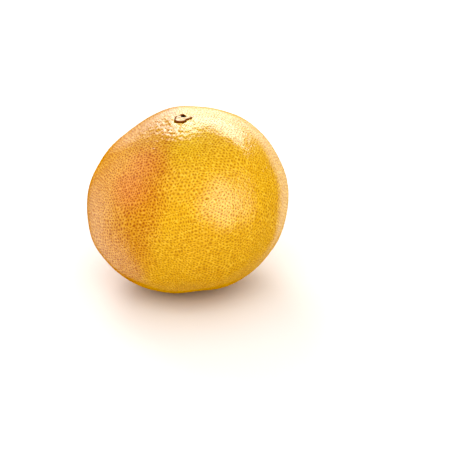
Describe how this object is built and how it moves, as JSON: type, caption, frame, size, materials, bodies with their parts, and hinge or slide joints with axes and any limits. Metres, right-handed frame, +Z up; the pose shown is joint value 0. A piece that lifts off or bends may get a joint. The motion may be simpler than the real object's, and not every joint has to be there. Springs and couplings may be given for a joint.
{
  "type": "pomelo",
  "caption": "Whole round citrus fruit with pitted yellow rind, slightly flattened, resting on a small flat spot, with a dry lobed stem button seated in its top.",
  "frame": {"origin": "on the flat spot under the fruit, at the middle of the fruit's width and depth", "axes": "+Z up through the fruit, close to its stem end; +X to the right of the side seen in the picture; +Y to the back"},
  "size_m": [0.1154, 0.1133, 0.1054],
  "materials": {
    "rind": "satin",
    "dry_calyx": "matte"
  },
  "bodies": {
    "root": {"fruit": "rind", "stem_button": "dry_calyx"}
  },
  "joints": []
}
